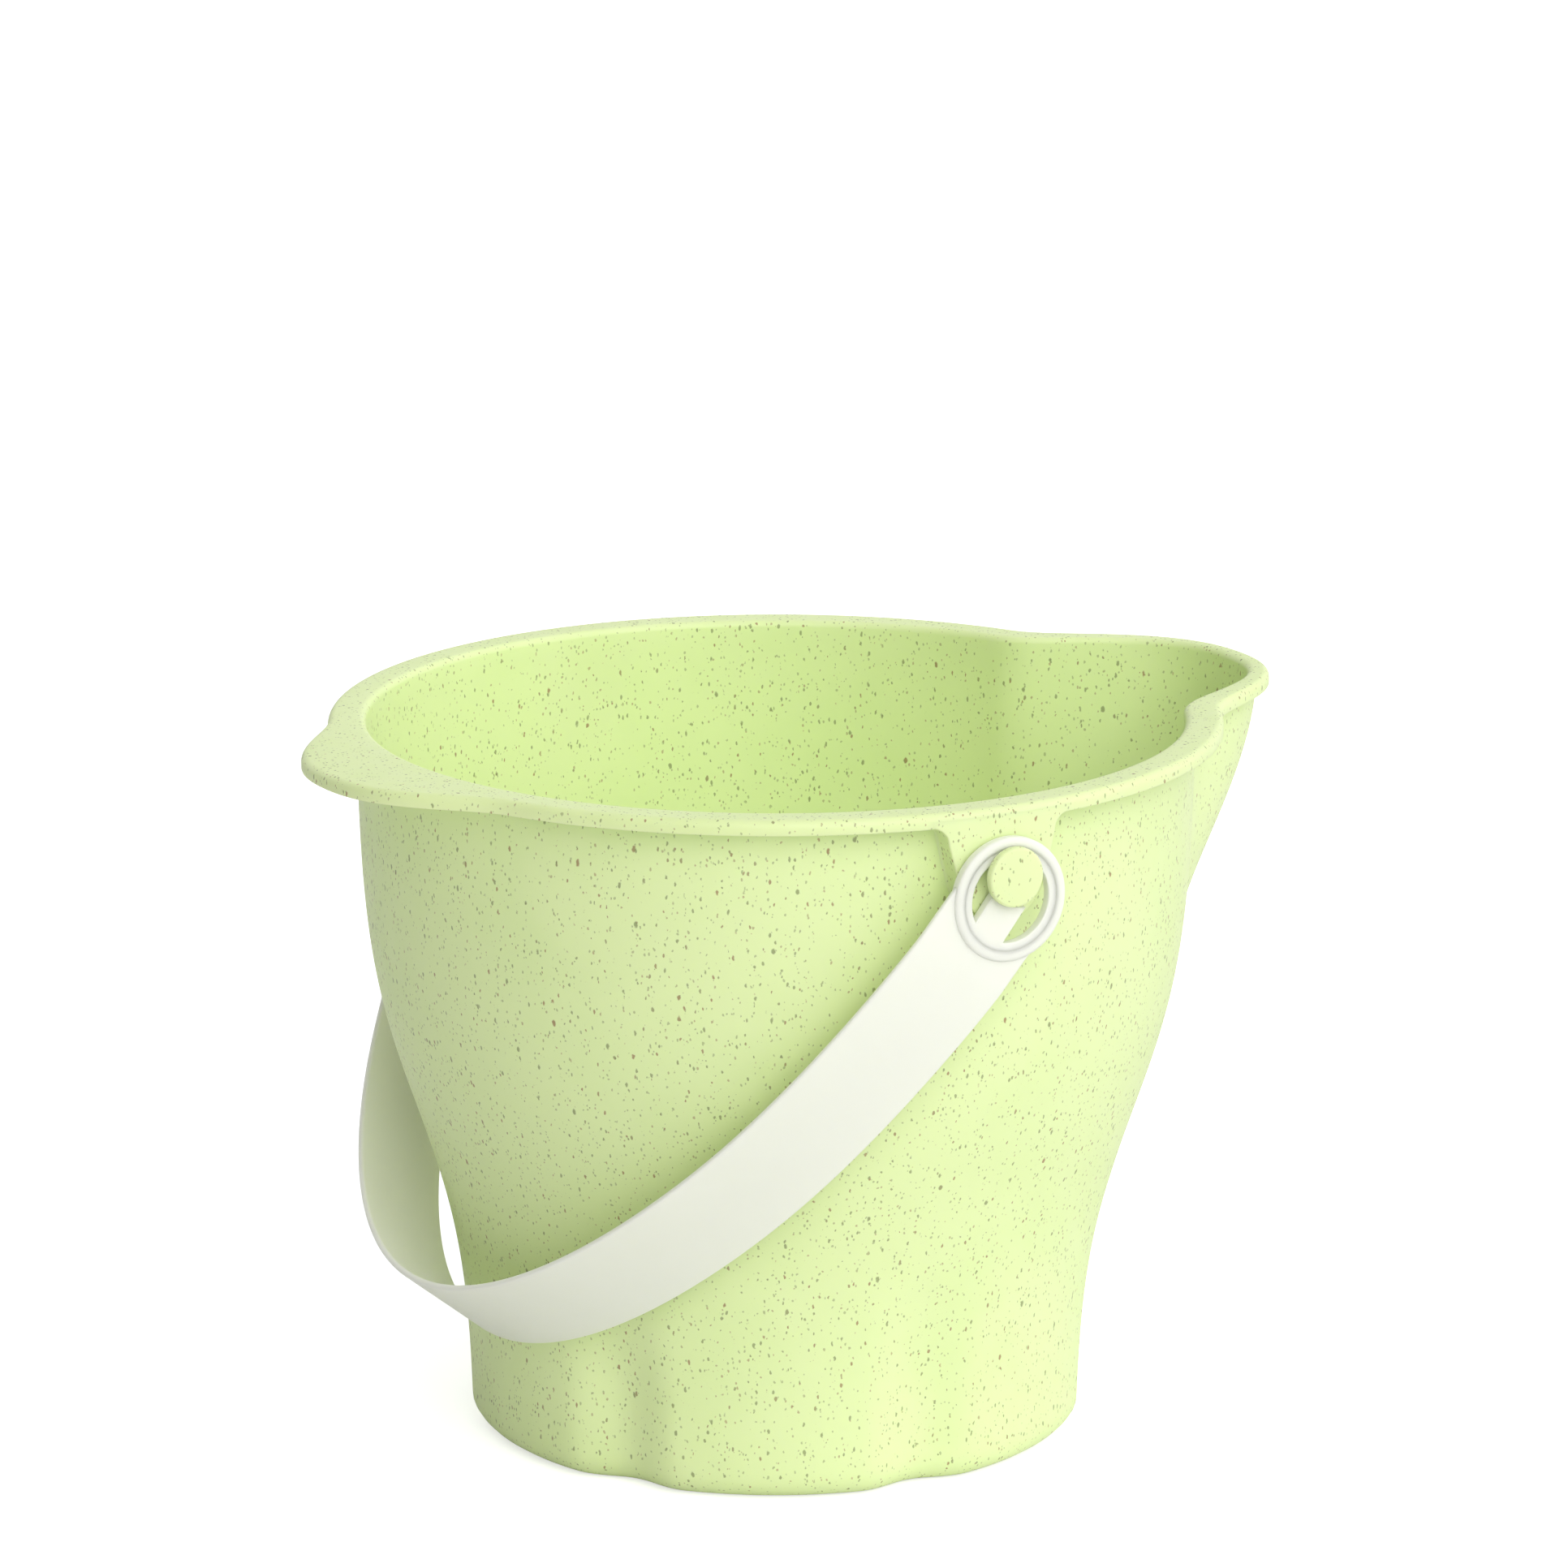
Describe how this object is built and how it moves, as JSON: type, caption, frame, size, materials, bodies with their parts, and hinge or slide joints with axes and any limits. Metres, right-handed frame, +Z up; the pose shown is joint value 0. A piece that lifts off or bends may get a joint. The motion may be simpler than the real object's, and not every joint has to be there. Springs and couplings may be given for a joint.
{
  "type": "sand bucket",
  "caption": "Moulded toy bucket with a fluted foot, a flanged mouth, a pouring spout, a finger tab and a hinged strap handle.",
  "frame": {"origin": "middle of the flat underside, on the bucket's round axis", "axes": "+Z up, +X towards the spout, -X towards the finger tab, Y along the handle's hinge axis"},
  "size_m": [0.2365, 0.2116, 0.1625],
  "materials": {
    "shell_green": "pale green plastic with small plant-fibre flecks, soft satin moulded surface",
    "handle_ivory": "plain warm ivory plastic, smooth satin"
  },
  "bodies": {
    "bucket": {"bucket_shell": "shell_green"},
    "handle": {"strap_handle": "handle_ivory"}
  },
  "joints": [
    {"name": "handle_swing", "type": "hinge", "parent": "bucket", "child": "handle", "pos_m": [0, 0, 0.1481], "axis": [0, 1, 0], "range_deg": [0, 280]}
  ]
}
